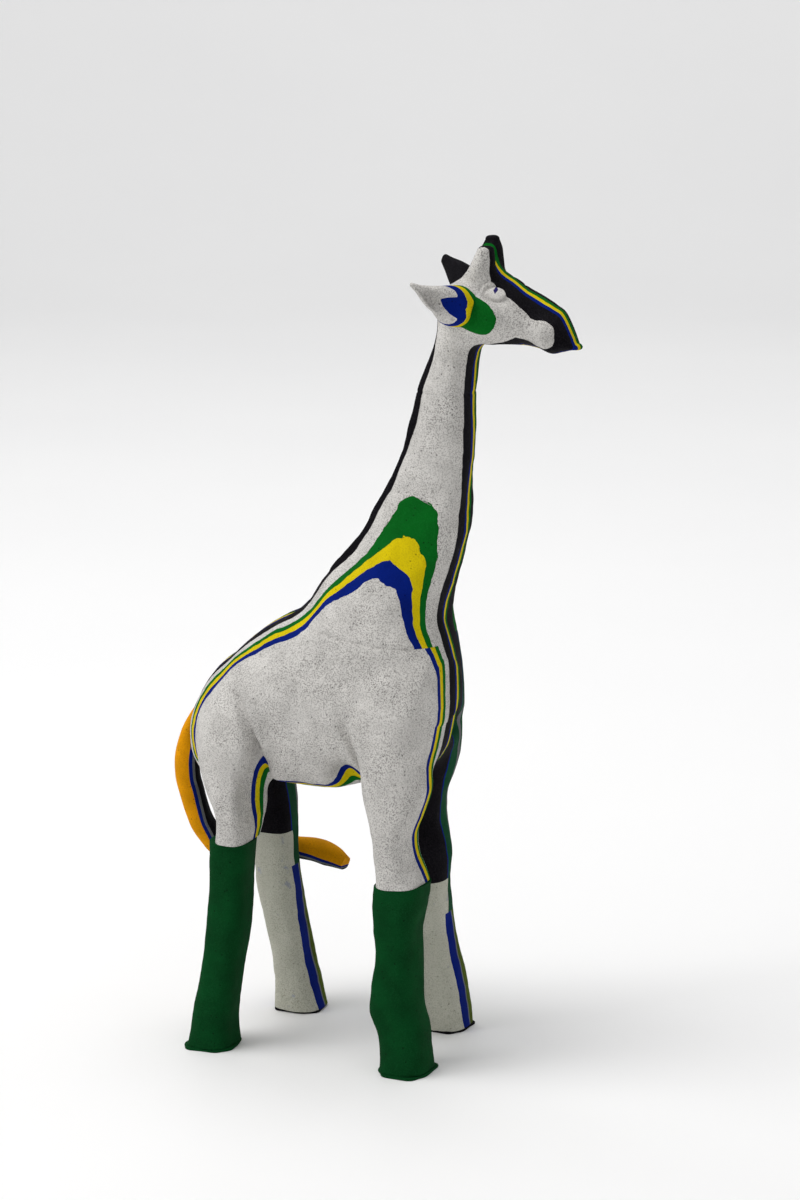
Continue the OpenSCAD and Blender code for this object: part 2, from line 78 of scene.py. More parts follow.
def area_light(name, place, target, size, watts, tint=(1, 1, 1)):
    """A square soft box at place that faces target."""
    data = bpy.data.lights.new(name, "AREA")
    data.size = size
    data.energy = watts
    data.color = tint
    light = bpy.data.objects.new(name, data)
    light.location = place
    light.rotation_mode = "QUATERNION"
    light.rotation_quaternion = (Vector(target) - Vector(place)).to_track_quat("-Z", "Y")
    bpy.context.collection.objects.link(light)


def make_studio():
    """A pale sweep that turns up behind the statue, soft boxes and a pale surround."""
    front, bend_start, bend, top, half = -3.0, 2.2, 0.9, 4.0, 5.0
    steps = 12
    rows = [(front, 0.0)]
    for step in range(steps + 1):
        turn = math.radians(90 * step / steps)
        rows.append((bend_start + bend * math.sin(turn), bend - bend * math.cos(turn)))
    rows.append((bend_start + bend, top))
    verts = [(x, y, z) for y, z in rows for x in (-half, half)]
    faces = [(2 * i, 2 * i + 1, 2 * i + 3, 2 * i + 2) for i in range(len(rows) - 1)]
    mesh = bpy.data.meshes.new("floor")
    mesh.from_pydata(verts, [], faces)
    mesh.shade_smooth()
    floor = bpy.data.objects.new("floor", mesh)
    bpy.context.collection.objects.link(floor)
    floor.rotation_euler = (0, 0, math.radians(CAMERA_AZIMUTH))
    mesh.materials.append(paper_material())

    world = bpy.data.worlds.new("surround")
    world.use_nodes = True
    background = world.node_tree.nodes["Background"]
    background.inputs["Color"].default_value = (1, 1, 1, 1)
    background.inputs["Strength"].default_value = 0.52
    bpy.context.scene.world = world
    bpy.context.scene.view_settings.view_transform = "Standard"

    area_light("overhead", (-0.6, -0.5, 1.9), (0, 0, 0.15), 1.0, 20, (1.0, 0.99, 0.98))
    area_light("front", (-1.5, -1.3, 0.8), (0, 0, 0.15), 0.7, 5.5)
    area_light("backdrop", (-0.4, 0.9, 1.9), (0, 2.2, 0.2), 1.6, 12)


# ---------------------------------------------------------------- materials


def new_material(name):
    material = bpy.data.materials.new(name)
    material.use_nodes = True
    tree = material.node_tree
    shader = tree.nodes["Principled BSDF"]
    return material, tree, shader


def paper_material():
    material, tree, shader = new_material("floor_paper")
    coords = tree.nodes.new("ShaderNodeTexCoord")
    noise = tree.nodes.new("ShaderNodeTexNoise")
    noise.inputs["Scale"].default_value = 3
    ramp = tree.nodes.new("ShaderNodeValToRGB")
    ramp.color_ramp.elements[0].color = (0.9, 0.9, 0.905, 1)
    ramp.color_ramp.elements[1].color = (0.94, 0.94, 0.94, 1)
    tree.links.new(coords.outputs["Object"], noise.inputs["Vector"])
    tree.links.new(noise.outputs["Fac"], ramp.inputs["Fac"])
    tree.links.new(ramp.outputs["Color"], shader.inputs["Base Color"])
    shader.inputs["Roughness"].default_value = 0.6
    return material


class Foam:
    """Builds one closed-cell foam: mottling, sanded specks, open pores darkened with painted
    shade, and cut bumps.
    """

    def __init__(self, name, colour, specks, speck_colour, mottle, depth):
        self.material, self.tree, self.shader = new_material(name)
        self.coords = self.tree.nodes.new("ShaderNodeTexCoord")
        colour_out = self.mottled(colour, mottle)
        colour_out = self.speckled(colour_out, specks, speck_colour)
        colour_out = self.pores_with_painted_shade(colour_out, colour)
        self.colour = colour_out
        self.link(colour_out, self.shader.inputs["Base Color"])
        self.bumped(depth)
        self.shader.inputs["Roughness"].default_value = 0.82
        self.shader.inputs["Specular IOR Level"].default_value = 0.05

    def link(self, source, target):
        self.tree.links.new(source, target)

    def node(self, kind, **values):
        made = self.tree.nodes.new(kind)
        for name, value in values.items():
            made.inputs[name.replace("_", " ")].default_value = value
        return made

    def noise(self, period_mm, detail=2.0, stretch=(1, 1, 1)):
        """Noise whose features are period_mm across."""
        mapping = self.tree.nodes.new("ShaderNodeMapping")
        mapping.inputs["Scale"].default_value = stretch
        self.link(self.coords.outputs["Object"], mapping.inputs["Vector"])
        noise = self.node("ShaderNodeTexNoise", Scale=1000 / period_mm, Detail=detail)
        self.link(mapping.outputs["Vector"], noise.inputs["Vector"])
        return noise.outputs["Fac"]

    def window(self, value, low, high):
        """0 below low, 1 above high, with a straight ramp between."""
        made = self.node("ShaderNodeMapRange", From_Min=low, From_Max=high)
        self.link(value, made.inputs["Value"])
        return made.outputs["Result"]

    def math(self, operation, a, b):
        """One arithmetic node on two numbers or sockets."""
        made = self.tree.nodes.new("ShaderNodeMath")
        made.operation = operation
        for socket, value in zip(made.inputs, (a, b)):
            if isinstance(value, (int, float)):
                socket.default_value = value
            else:
                self.link(value, socket)
        return made.outputs["Value"]

    def mix(self, amount, first, second):
        """From the first colour at 0 to the second at 1."""
        made = self.tree.nodes.new("ShaderNodeMix")
        made.data_type = "RGBA"
        self.link(amount, made.inputs["Factor"])
        for socket, value in ((made.inputs[6], first), (made.inputs[7], second)):
            if isinstance(value, tuple):
                socket.default_value = (*value, 1)
            else:
                self.link(value, socket)
        return made.outputs[2]

    def mottled(self, colour, mottle):
        """Broad, faint light and dark areas."""
        light = tuple(min(1.0, c * (1 + mottle)) for c in colour)
        dark = tuple(c * (1 - mottle) for c in colour)
        return self.mix(self.window(self.noise(9, 4), 0.35, 0.65), dark, light)

    def speckled(self, base, specks, speck_colour):
        """Fine dark or pale crumbs, thicker in some areas than in others."""
        crumbs = self.window(self.noise(0.5, 2), 0.48, 0.6)
        patches = self.window(self.noise(14, 2), 0.3, 0.7)
        patches = self.math("ADD", self.math("MULTIPLY", patches, 0.5), 0.5)
        amount = self.math("MULTIPLY", crumbs, patches)
        amount = self.math("MULTIPLY", amount, specks)
        return self.mix(amount, base, speck_colour)

    def pores_with_painted_shade(self, base, colour):
        """Scattered open cells, each darkened inside with painted shade."""
        cells = self.node("ShaderNodeTexVoronoi", Scale=1000 / 2.2)
        self.link(self.coords.outputs["Object"], cells.inputs["Vector"])
        hole = self.window(cells.outputs["Distance"], 0.16, 0.1)
        some = self.window(self.noise(4, 1), 0.5, 0.56)
        self.hole = self.math("MULTIPLY", hole, some)
        # Painted shade: inside each open cell the colour drops to a third of the foam's own
        return self.mix(self.hole, base, tuple(c * 0.35 for c in colour))

    def bumped(self, depth):
        """Grain and knife marks in the surface, with the open cells sunk into it."""
        grain = self.noise(0.6, 3)
        cuts = self.noise(3.5, 2, (1, 1, 0.45))
        height = self.math("MULTIPLY", grain, 0.8)
        height = self.math("ADD", height, self.math("MULTIPLY", cuts, 1.2))
        height = self.math("SUBTRACT", height, self.hole)
        bump = self.node("ShaderNodeBump", Strength=0.8, Distance=depth * MM)
        self.link(height, bump.inputs["Height"])
        self.link(bump.outputs["Normal"], self.shader.inputs["Normal"])


WHITE = (0.6, 0.585, 0.56)
# Foams: slot, colour, share and colour of the specks, mottling, depth of the grain in mm
FOAMS = [
    ("black_foam", (0.004, 0.0035, 0.005), 0.5, (0.02, 0.018, 0.022), 0.3, 0.2),
    ("blue_foam", (0.0005, 0.01, 0.15), 0.3, (0.004, 0.018, 0.2), 0.12, 0.14),
    ("yellow_foam", (0.62, 0.49, 0.003), 0.45, (0.36, 0.24, 0.005), 0.08, 0.16),
    ("green_foam", (0.001, 0.1, 0.009), 0.4, (0.006, 0.14, 0.02), 0.12, 0.14),
    ("sock_green_foam", (0.001, 0.042, 0.009), 0.4, (0.006, 0.07, 0.02), 0.16, 0.18),
    ("dark_green_foam", (0.003, 0.05, 0.018), 0.3, (0.02, 0.08, 0.04), 0.15, 0.16),
    ("olive_foam", (0.06, 0.09, 0.008), 0.3, (0.12, 0.14, 0.02), 0.15, 0.16),
    ("grey_foam", (0.14, 0.145, 0.15), 0.4, (0.07, 0.07, 0.08), 0.1, 0.16),
    ("amber_foam", (0.72, 0.3, 0.002), 0.45, (0.5, 0.17, 0.005), 0.12, 0.16),
]


def make_foams():
    """The foam of each slot in the record."""
    made = {"white_foam": make_white_foam()}
    for row in FOAMS:
        made[row[0]] = Foam(*row)
    made["eye"] = make_eye_foam()
    return made


def make_white_foam():
    """White foam, a little greener in the separate sheets of the left lower legs."""
    foam = Foam("white_foam", WHITE, 0.85, (0.2, 0.19, 0.18), 0.08, 0.45)
    parts = foam.tree.nodes.new("ShaderNodeSeparateXYZ")
    foam.link(foam.coords.outputs["Object"], parts.inputs["Vector"])
    low = foam.window(parts.outputs["Z"], 0.083, 0.081)
    left = foam.window(parts.outputs["Y"], -0.003, 0)
    low = foam.math("MULTIPLY", low, foam.math("MULTIPLY", left, 0.55))
    stained = foam.window(foam.noise(6, 3), 0.66, 0.72)
    stained = foam.math("MULTIPLY", stained, foam.math("MULTIPLY", low, 0.7))
    tinted = foam.mix(low, foam.colour, (0.42, 0.43, 0.32))
    tinted = foam.mix(stained, tinted, (0.1, 0.14, 0.35))
    foam.link(tinted, foam.shader.inputs["Base Color"])
    return foam


def make_eye_foam():
    """White foam with a small inked almond in the middle of each eye."""
    foam = Foam("eye", WHITE, 0.45, (0.2, 0.19, 0.18), 0.05, 0.1)
    parts = foam.tree.nodes.new("ShaderNodeSeparateXYZ")
    foam.link(foam.coords.outputs["Object"], parts.inputs["Vector"])
    pupil_x = (EYE_PLACE[0] - 0.9 - CENTRE[0]) * MM
    pupil_z = (EYE_PLACE[2] + 0.1) * MM
    across = foam.math("DIVIDE", foam.math("SUBTRACT", parts.outputs["X"], pupil_x), 0.9 * MM)
    upward = foam.math("DIVIDE", foam.math("SUBTRACT", parts.outputs["Z"], pupil_z), 1.5 * MM)
    reach = foam.math("ADD", foam.math("ABSOLUTE", across, 0), foam.math("ABSOLUTE", upward, 0))
    reach = foam.math("ADD", reach, foam.math("MULTIPLY", foam.noise(0.8, 2), 0.5))
    ink = foam.window(reach, 1.35, 1.15)
    foam.link(foam.mix(ink, foam.colour, (0.025, 0.02, 0.12)), foam.shader.inputs["Base Color"])
    return foam


# ---------------------------------------------------------------- the carved form

# Sections of the torso: x, y, z, half width right, half height, half width left
TORSO = [
    (-66.5, 6, 124, 5, 5, 4),
    (-65, 6, 124, 11, 11, 7),
    (-61.5, 6.5, 125, 18, 17, 11),
    (-56.5, 7, 128, 24.5, 22, 16.5),
    (-48, 8, 132, 32, 25.5, 22),
    (-37, 8, 138, 37, 29, 27),
    (-20, 8, 142, 37.5, 34.5, 27.5),
    (-5, 6, 143.3, 35.5, 36, 29.5),
    (16, 3.5, 147, 33.5, 35.5, 32.5),
    (28, 2, 149, 33, 33, 33),
    (37, 0, 149, 31.5, 30, 31.5),
    (42, -3, 149, 27, 25, 27),
    (45, -6, 150, 21.5, 20, 21.5),
    (47, -8, 152, 16, 13, 16),
]
# Sections of the neck without its mane: x, y, z, half length, half width
NECK = [
    (8, 3, 150, 20, 20),
    (11, 2.5, 162, 27, 27),
    (12.5, 2, 171, 28.8, 29.5),
    (14.2, 1, 179, 28.3, 27.5),
    (16.8, 0.5, 187, 27.2, 24.7),
    (20.9, 0, 195, 25.6, 21.7),
    (26.3, 0, 203, 22.7, 19.4),
    (31.8, 0, 213, 19.8, 16.9),
    (35, 0, 223, 17.2, 15.2),
    (36.3, 0, 227, 16.3, 14.6),
    (37.4, 0, 230.5, 15.6, 13.5),
    (38.5, 0, 235, 15, 13.4),
    (42, 0, 246, 12.5, 12.8),
    (44, 0, 258, 10.7, 12.4),
    (45.4, 0, 270, 9.1, 12),
    (47.7, 0, 281, 7.9, 11.5),
    (49.5, 0, 290, 8.5, 10.5),
    (51, 0, 298, 9, 9),
]
# The mane, a black ridge down the back of the neck: x, y, z, half depth, half width
MANE = [
    (-0.5, -1.3, 186, 3, 4),
    (0.8, -1.3, 195, 5, 4.4),
    (7.7, -1.3, 203, 5.5, 4.6),
    (16, -1.3, 213, 5.5, 4.6),
    (21.5, -1.3, 223, 5.5, 4.6),
    (27, -1.3, 234, 5.5, 4.6),
    (32.6, -1.3, 246, 5.2, 4.6),
    (36, -1.3, 258, 5.2, 4.6),
    (39.2, -1.3, 270, 5.2, 4.6),
    (43, -1.3, 281, 4.8, 4.6),
    (46, -1.3, 290, 4.4, 4.6),
    (49, -1.3, 298, 4, 4.6),
]
# Sections of the skull and nose bridge: x, y, z, half width right, half height, half width left
HEAD = [
    (44.5, 0, 301, 6, 6, 6),
    (47, 0, 301, 9.5, 9.5, 9.5),
    (51, 0, 301.5, 12, 12, 12),
    (57, 1, 302, 14, 13.6, 12),
    (64, 4, 301.8, 16.5, 14, 9),
    (70, 6, 300.7, 17.7, 12.5, 6.8),
    (76, 6.8, 298.3, 16.8, 10.9, 5.6),
    (82, 6.8, 296.2, 14, 10, 4.8),
    (87, 6.5, 294.3, 13, 9.3, 4.2),
    (91, 6, 293.3, 11.5, 7.3, 3.8),
    (93.5, 5.5, 291.3, 9.5, 4.7, 3.2),
    (95.3, 5, 289.5, 6.5, 2.6, 2.6),
    (96.3, 4.6, 288.4, 4.5, 1.4, 2.2),
]
# Sections of the lips, wider and lower than the bridge
LIPS = [
    (68, -0.5, 295, 6, 4),
    (75, -0.5, 295.5, 7, 4.2),
    (80, -1, 294.8, 7.6, 4.9),
    (84, -1, 294, 8.4, 6),
    (87, -1, 293.6, 8.3, 6.3),
    (89.5, -1, 293.2, 7, 5.4),
]
# Sections of the horns, bottom to top: x, y, z, half length, half width
RIGHT_HORN = [
    (57, -6.5, 304, 8, 7),
    (58.9, -4.2, 314, 6, 6.2),
    (60.6, -4, 320, 4.3, 5.6),
    (61.6, -4.2, 324.5, 3, 4.4),
]
LEFT_HORN = [
    (58, 6.5, 304, 9, 7),
    (58, 7, 314, 6.6, 6),
    (58.4, 8, 320, 5.2, 5.2),
    (59.2, 8.6, 324.5, 3.6, 4.4),
    (59.3, 8.8, 327, 2.6, 3),
]
# Sections of the cheek in its own frame: distance out, then offsets and half sizes
CHEEK = [
    (3, -0.6, 0, 8.3, 13, 6.8),
    (12.4, -0.6, 0, 7.9, 12.6, 6.4),
    (14, -0.6, 0, 7.3, 11.8, 5.8),
    (15, -0.6, 0, 6.4, 10.6, 5),
    (15.6, -0.6, 0, 5, 8.8, 3.9),
]
# Sections of the near ear's root, straight out of the cheek: distance out, offsets, half sizes
EAR_ROOT = [
    (9, 0, 0, 8, 7.2),
    (17, 0, 0, 7.7, 7),
    (20, 0.3, 0.6, 7.2, 6.3),
    (22, 0.7, 1.4, 6.3, 5.2),
]
# Ears in their own frames: distance from root to tip, then offsets and half sizes
RIGHT_EAR = [
    (-3, 1.8, 0, 5.6, 4.6),
    (3, 1.4, 0, 6, 4.8),
    (8, 0.9, 0, 5.7, 4.1),
    (11, 0.6, 0.2, 4.9, 3.2),
    (15, 0.8, 0.8, 3.2, 2.6),
    (18, 1.3, 0.7, 1.8, 1.6),
    (20.8, 1.8, 0.9, 0.8, 0.8),
]
RIGHT_EAR_SCOOP = [
    (-2, 0.2, -7.7, 4.2, 3),
    (2, -0.1, -6.4, 4.8, 3.8),
    (6, -0.4, -4.8, 4.6, 4.3),
    (12, 0.1, -2.5, 2.8, 4.1),
    (17, 1.1, -2, 1.1, 2.1),
    (20, 1.6, -1.4, 0.6, 1.2),
]
LEFT_EAR = [
    (-3, 0, 0, 6.5, 4),
    (4, 0, 0, 6.6, 3.6),
    (10, 0, 0, 5.4, 2.9),
    (16, 0, 0, 3.4, 2),
    (20.5, 0, 0, 2.2, 1.3),
]
LEFT_EAR_SCOOP = [
    (3, 0, 3.8, 4.4, 3.4),
    (9, 0, 3.2, 3.6, 3),
    (15, 0, 2.2, 1.8, 2),
]
# Sections of the upper legs: x, y, z, half length, half width
RIGHT_HIND_UPPER = [
    (-39.8, -20, 78, 6.5, 11.5),
    (-38.4, -19, 86, 6.8, 13),
    (-37.1, -18, 96, 7.9, 14.5),
    (-38.1, -18.5, 106, 10.9, 14.5),
    (-39.5, -19, 117, 12.8, 14),
    (-38.5, -19, 127, 13.5, 14.2),
    (-36.5, -17.5, 137, 12, 13.5),
    (-34, -14, 147, 8, 9),
]
RIGHT_FRONT_UPPER = [
    (34, -20, 70, 9.2, 11.6),
    (33.8, -20, 76, 9, 12),
    (31.5, -20, 86, 7, 12.6),
    (30.8, -20, 94, 6.6, 13),
    (31, -20, 103, 9, 13.2),
    (31, -20, 113, 12.5, 13.6),
    (30, -19.5, 126, 13.5, 14.3),
    (29, -18, 141, 13.5, 14.5),
    (28, -13, 156, 11, 12),
]
# The left legs, from the pads up
LEFT_HIND = [
    (-35, 35.5, 0, 10, 10.6),
    (-36, 34, 12, 8.8, 10),
    (-36.8, 32, 24, 7.8, 9.6),
    (-37.6, 29.5, 36, 7.8, 9.6),
    (-39, 26, 50, 8.2, 9.8),
    (-39.6, 23, 64, 8.3, 9.6),
    (-39.8, 21.5, 77, 8.6, 9.6),
    (-41, 21.5, 92, 8.8, 10.5),
    (-43, 22, 105, 10.5, 12),
    (-43.5, 22.5, 116, 13.5, 13.5),
    (-42, 23, 127, 16, 14.8),
    (-39, 21.5, 138, 16, 15),
    (-36, 17, 152, 10, 10),
]
LEFT_FRONT = [
    (31.3, 35.5, 0, 9, 10.4),
    (31, 34.5, 10, 8.8, 10),
    (30.2, 32, 23, 8.2, 9.8),
    (28.8, 28.5, 37, 7.6, 9.6),
    (28, 24.5, 52, 7.7, 9.6),
    (28, 22, 65, 8, 9.8),
    (28, 21, 78, 8.6, 9.8),
    (26.5, 21, 92, 8, 10.5),
    (26.5, 21, 102, 8.5, 11.5),
    (27.5, 21, 114, 11, 13),
    (26.5, 21, 127, 13.5, 14.5),
    (25, 19.5, 141, 14, 15),
    (22, 14, 156, 11, 11),
]
# The green right lower legs, from the pads up
RIGHT_HIND_LOWER = [
    (-47.8, -22, 0, 9.2, 11.4),
    (-47.2, -22, 7, 8.2, 10.8),
    (-45.8, -22, 18, 7.8, 10.4),
    (-43, -22, 34, 7.6, 10),
    (-41, -21.5, 47, 7.6, 10),
    (-39.9, -21, 60, 7.7, 10.4),
    (-39.6, -20.5, 74, 7.6, 10.8),
    (-39.1, -20, 89, 8.1, 11.4),
]
RIGHT_FRONT_LOWER = [
    (37, -22, 0, 9.6, 11.4),
    (36.7, -22, 8, 9.2, 11),
    (35.8, -22, 15, 9.4, 11),
    (33, -22, 25, 10, 10.8),
    (33, -22, 35, 9, 10.6),
    (33.5, -21.5, 44, 8.1, 10.6),
    (33, -21, 56, 8.2, 10.8),
    (33.5, -20.5, 68, 9.4, 11.2),
    (34.2, -20, 79, 10, 11.6),
]

EYE_PLACE = (68.7, 11.5, 310)
NECK_SEAM = 268.5
SHOULDER_SEAM = 174.0
SHOULDER_SLOPE = 0.09
PAD_TOP = 0.9


def smooth_rows(table, column, at):
    """Cubic through the table's rows, read at the given places along the column."""
    rows = np.array(table, float)
    t = rows[:, column]
    values = np.delete(rows, column, axis=1)
    slopes = np.gradient(values, t, axis=0)
    at = np.clip(at, t[0], t[-1])
    k = np.clip(np.searchsorted(t, at) - 1, 0, len(t) - 2)
    width = t[k + 1] - t[k]
    s = ((at - t[k]) / width)[:, None]
    width = width[:, None]
    h00 = (1 + 2 * s) * (1 - s) ** 2
    h10 = s * (1 - s) ** 2
    h01 = s * s * (3 - 2 * s)
    h11 = s * s * (s - 1)
    mixed = h00 * values[k] + h10 * width * slopes[k] + h01 * values[k + 1]
    return mixed + h11 * width * slopes[k + 1]


def loft(p, table, column, power, start_cap=2.0, end_cap=2.0):
    """Rough distance to a body through the table's sections, with domed ends.

    column is 0 for sections square to X and 2 for sections square to Z. The power sets how
    boxy a section is. A power of (axis, low, high) differs between a section's two sides. A
    sixth number in a row is the half size on the positive side of the first cross axis.
    """
    rows = np.array(table, float)
    along = p[:, column]
    held = np.clip(along, rows[0, column], rows[-1, column])
    c0, c1, a, b, *beyond = smooth_rows(table, column, held).T
    across = [i for i in range(3) if i != column]
    du = p[:, across[0]] - c0
    dv = p[:, across[1]] - c1
    if beyond:
        a = np.where(du > 0, beyond[0], a)
    if isinstance(power, tuple):
        axis, low, high = power
        offset = du if axis == across[0] else dv
        power = np.where(offset < 0, low, high)
    over = along - held
    cap = np.where(over < 0, start_cap, end_cap)
    reach = (
        np.abs(du / a) ** power + np.abs(dv / b) ** power + np.abs(over / cap) ** power
    ) ** (1 / power)
    reach = np.maximum(reach, 0.02)
    return np.sqrt(du * du + dv * dv + over * over) * (1 - 1 / reach)


def join(a, b, k):
    """Smooth union over a width of k."""
    h = np.clip(0.5 + 0.5 * (b - a) / k, 0, 1)
    return b * (1 - h) + a * h - k * h * (1 - h)


def carve(a, tool, k):
    """a with the tool's body cut away, with edges softened over k."""
    return -join(-a, tool, k)


def ellipsoid(p, centre, radii):
    """Rough distance to an ellipsoid."""
    scaled = (p - np.array(centre, float)) / np.array(radii, float)
    return (np.linalg.norm(scaled, axis=1) - 1) * min(radii)


def groove(p, side, points, width, depth):
    """How much a shallow groove down one flank raises the field; the points are x and z."""
    flat = p[:, [0, 2]]
    best = np.full(len(p), 1e9)
    for start, end in zip(points[:-1], points[1:]):
        start = np.array(start, float)
        span = np.array(end, float) - start
        t = np.clip((flat - start) @ span / (span @ span), 0, 1)
        best = np.minimum(best, np.linalg.norm(flat - start - t[:, None] * span, axis=1))
    outer = np.clip((side * p[:, 1] - 14) / 10, 0, 1)
    ends = np.array([points[0], points[-1]], float)
    reach = np.linalg.norm(ends[1] - ends[0]) / 2
    fade = np.exp(-((np.linalg.norm(flat - ends.mean(axis=0), axis=1) / reach) ** 4))
    return outer * depth * fade * np.exp(-((best / width) ** 2))


def local(p, origin, forward, up):
    """Points in a frame at origin: forward along the first axis, up along the second."""
    forward = np.array(forward, float) / np.linalg.norm(forward)
    up = np.array(up, float)
    up = up - forward * (up @ forward)
    up = up / np.linalg.norm(up)
    side = np.cross(forward, up)
    return (p - np.array(origin, float)) @ np.array([forward, up, side]).T


WAVES = np.random.default_rng(11)


def wave_set(period, count):
    """Random plane waves of about the given period."""
    directions = WAVES.normal(size=(count, 3))
    directions /= np.linalg.norm(directions, axis=1, keepdims=True)
    rates = 2 * math.pi / (period * WAVES.uniform(0.7, 1.4, count))
    return directions * rates[:, None], WAVES.uniform(0, 2 * math.pi, count)


def ripple(p, waves):
    """The sum of a wave set at each point, mostly within -1 to 1."""
    rates, phases = waves
    return np.sin(p @ rates.T + phases).sum(axis=1) / math.sqrt(len(phases))


BROAD = wave_set(26, 12)
MEDIUM = wave_set(11, 16)
SMALL = wave_set(5, 20)
FINE = wave_set(2.2, 20)


def hand_cut(p):
    """The unevenness that knife and sander leave."""
    return 0.35 * ripple(p, BROAD) + 0.12 * ripple(p, MEDIUM) + 0.04 * ripple(p, SMALL)


def mane_and_neck(p):
    back = np.interp(p[:, 2], (205, 227), (1.5, 2.2))
    front = np.interp(p[:, 2], (212, 220, 228, 236), (2.8, 3.6, 3.6, 2.8))
    neck = loft(p, NECK, 2, (0, back, front))
    mane = loft(p, MANE, 2, 4)
    return join(neck, mane, 0.8)


def torso(p):
    top = np.interp(p[:, 0], (-55, -30, -10, 20), (1.8, 1.9, 2.3, 2.05))
    belly = np.interp(p[:, 0], (-40, -20, 0, 15), (2.4, 3, 3, 2.4))
    return loft(p, TORSO, 0, (2, belly, top), 1.5, 1.5)


# Hollows cut out of the body, before the thigh, behind the elbow and at the chest: centre, radii
HOLLOWS = [
    ((-27, -27, 104), (6, 18, 17)),
    ((10, -27, 105), (8.5, 18, 18)),
    ((51, 19, 132), (12.5, 14, 7.5)),
]
# Creases down the flanks: side, x and z along them, width, depth
GROOVES = [
    (-1, [(-34, 149), (-30, 142), (-27, 135), (-26, 128), (-27, 118)], 1.7, 2.6),
    (-1, [(-20, 140), (-21, 116)], 5, 1.6),
    (-1, [(10, 144), (16, 132), (18, 124), (18.5, 112)], 2, 2.6),
    (1, [(-28, 146), (-27, 128)], 3, 0.9),
    (1, [(10, 138), (14, 122)], 3, 0.9),
]


def body_field(p):
    form = join(torso(p), mane_and_neck(p), 10)
    form = join(form, loft(p, RIGHT_HIND_UPPER, 2, (0, 2.2, 3.6), 0.05), 8)
    form = join(form, loft(p, RIGHT_FRONT_UPPER, 2, (0, 2.6, 3.6), 0.05), 8)
    for leg in (LEFT_HIND, LEFT_FRONT):
        form = join(form, loft(p, leg, 2, 2.8, 0.05), 8)
    for centre, radii in HOLLOWS:
        form = carve(form, ellipsoid(p, centre, radii), 3)
    for side, points, width, depth in GROOVES:
        form = form + groove(p, side, points, width, depth)
    return form + shoulder_seam_line(p) + hand_cut(p)


def shoulder_height(x):
    return SHOULDER_SEAM - SHOULDER_SLOPE * x


def shoulder_seam_line(p):
    """A hairline on the flanks where the neck block is glued to the body block."""
    flank = np.clip((np.abs(p[:, 1]) - 19) / 4, 0, 1)
    return 0.55 * flank * np.exp(-(((p[:, 2] - shoulder_height(p[:, 0])) / 0.6) ** 2))


def neck_seam_line(p):
    """A hairline round the neck where the head block is glued on."""
    return 0.25 * np.exp(-(((p[:, 2] - NECK_SEAM) / 0.5) ** 2))


def neck_field(p):
    form = join(torso(p), mane_and_neck(p), 10)
    form = join(form, head_shape(p), 5)
    return form + neck_seam_line(p) + shoulder_seam_line(p) + hand_cut(p)


def head_shape(p):
    jaw = np.interp(p[:, 0], (70, 75, 82, 88), (3.2, 1.8, 1.8, 2.6))
    skull = loft(p, HEAD, 0, (2, jaw, 1.75), 1.5, 1.5)
    return join(skull, loft(p, LIPS, 0, 2.2, 3, 1.2), 2.5)


def cheek_frame(p):
    return local(p, (59.6, 0, 303.3), (0, -1, 0), (0.5, 0, 0.87))


def ear_root_frame(p):
    return local(p, (53.9, 0, 303.9), (0, -1, 0), (0, 0, 1))


def right_ear_frame(p):
    return local(p, (55.5, -17, 303), (-15, -14, 9), (0.2, 0.1, 1))


def left_ear_frame(p):
    return local(p, (48.5, 11, 308), (-16, 12.5, 9.5), (0.2, 0, 1))


def eye_frame(p, side):
    """Out of the head, up, and along it, at the eye on one side."""
    x, y, z = EYE_PLACE
    return local(p, (x, side * y, z), (0.3, side * 0.85, 0.5), (0, 0, 1))


def eye_rims(p):
    """The knife cut round each eye, and the crease over it."""
    cuts = 0
    for side in (-1, 1):
        out, up, along = eye_frame(p, side).T
        near = np.exp(-((out / 3) ** 2))
        ring = np.hypot(up / 2.9, along / 4)
        cuts = cuts + 2.2 * near * np.exp(-(((ring - 1.1) / 0.16) ** 2))
        lid = np.hypot((up - 1.2) / 3.6, along / 5)
        cuts = cuts + 1.1 * near * (up > 0) * np.exp(-(((lid - 1.2) / 0.11) ** 2))
    return cuts


def head_field(p):
    form = join(mane_and_neck(p), head_shape(p), 5)
    form = join(form, loft(p, RIGHT_HORN, 2, (1, 1.6, 2.2), 1, 1.6), 4)
    form = join(form, loft(p, LEFT_HORN, 2, (1, 3, 2.2), 1, 1.8), 4)
    form = join(form, loft(cheek_frame(p), CHEEK, 0, 2.5, 1, 0.3), 2)
    form = join(form, loft(ear_root_frame(p), EAR_ROOT, 0, 2.2, 1, 1), 0.8)
    ear = right_ear_frame(p)
    form = join(form, loft(ear, RIGHT_EAR, 0, 2.2, 1, 0.6), 1.8)
    form = carve(form, loft(ear, RIGHT_EAR_SCOOP, 0, 2, 2.5, 2), 0.8)
    smoother = np.interp(p[:, 2], (NECK_SEAM + 1, NECK_SEAM + 16), (1, 0.6))
    return form + neck_seam_line(p) + eye_rims(p) + smoother * hand_cut(p)


def left_ear_field(p):
    ear = left_ear_frame(p)
    form = loft(ear, LEFT_EAR, 0, 2.4, 1, 0.8)
    return carve(form, loft(ear, LEFT_EAR_SCOOP, 0, 2, 2, 2), 0.7) + 0.4 * hand_cut(p)


def lower_leg_field(p, table):
    return loft(p, table, 2, 2.8, 0.05, 0.05) + hand_cut(p) - 0.2


def right_hind_lower_field(p):
    return lower_leg_field(p, RIGHT_HIND_LOWER)


def right_front_lower_field(p):
    return lower_leg_field(p, RIGHT_FRONT_LOWER)


# ---------------------------------------------------------------- meshing


def grid_points(low, shape, step):
    """The points of a grid of the given shape, one row each."""
    axes = [low[i] + step * np.arange(shape[i]) for i in range(3)]
    return np.stack(np.meshgrid(*axes, indexing="ij"), axis=-1).reshape(-1, 3)


